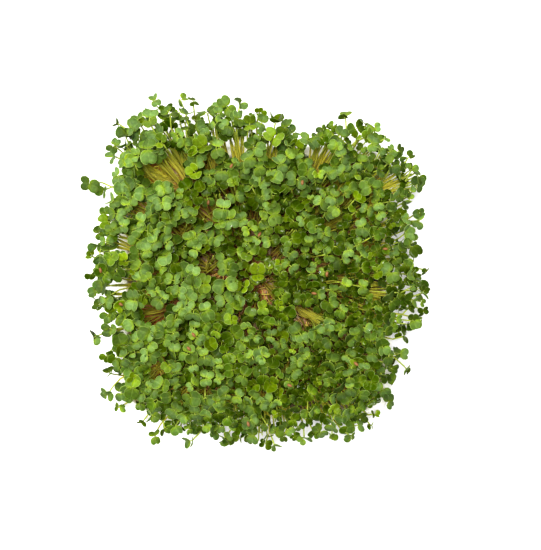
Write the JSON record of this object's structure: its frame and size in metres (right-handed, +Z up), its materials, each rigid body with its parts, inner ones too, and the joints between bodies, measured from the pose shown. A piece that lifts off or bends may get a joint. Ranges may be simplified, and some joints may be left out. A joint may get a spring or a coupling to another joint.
{
  "type": "microgreens tray",
  "caption": "Shallow square tray filled with a fibre growing pad and a dense domed mat of brassica microgreens with paired two-lobed seed leaves on thin stems.",
  "frame": {"origin": "the middle of the tray's flat underside", "axes": "+Z up, with X and Y along the tray's sides"},
  "size_m": [0.1534, 0.1586, 0.0709],
  "materials": {
    "tray": "white moulded plastic, satin",
    "pad": "damp beige plant-fibre mat with fine roots and seed husks",
    "seedlings": "living seedlings: satin green seed leaves, olive stems going reddish-brown at the foot, white roots"
  },
  "bodies": {
    "root": {"tray": "tray", "growing_pad": "pad", "tuft_01": "seedlings", "tuft_02": "seedlings", "tuft_03": "seedlings", "tuft_04": "seedlings", "tuft_05": "seedlings", "tuft_06": "seedlings", "tuft_07": "seedlings", "tuft_08": "seedlings", "tuft_09": "seedlings", "tuft_10": "seedlings", "tuft_11": "seedlings", "tuft_12": "seedlings", "tuft_13": "seedlings", "tuft_14": "seedlings", "tuft_15": "seedlings", "tuft_16": "seedlings", "tuft_17": "seedlings", "tuft_18": "seedlings", "tuft_19": "seedlings", "tuft_20": "seedlings", "tuft_21": "seedlings", "tuft_22": "seedlings", "tuft_23": "seedlings", "tuft_24": "seedlings", "tuft_25": "seedlings", "tuft_26": "seedlings", "tuft_27": "seedlings", "tuft_28": "seedlings", "tuft_29": "seedlings", "tuft_30": "seedlings", "tuft_31": "seedlings", "tuft_32": "seedlings", "tuft_33": "seedlings", "tuft_34": "seedlings", "tuft_35": "seedlings", "tuft_36": "seedlings", "tuft_37": "seedlings", "tuft_38": "seedlings", "tuft_39": "seedlings"}
  },
  "joints": []
}
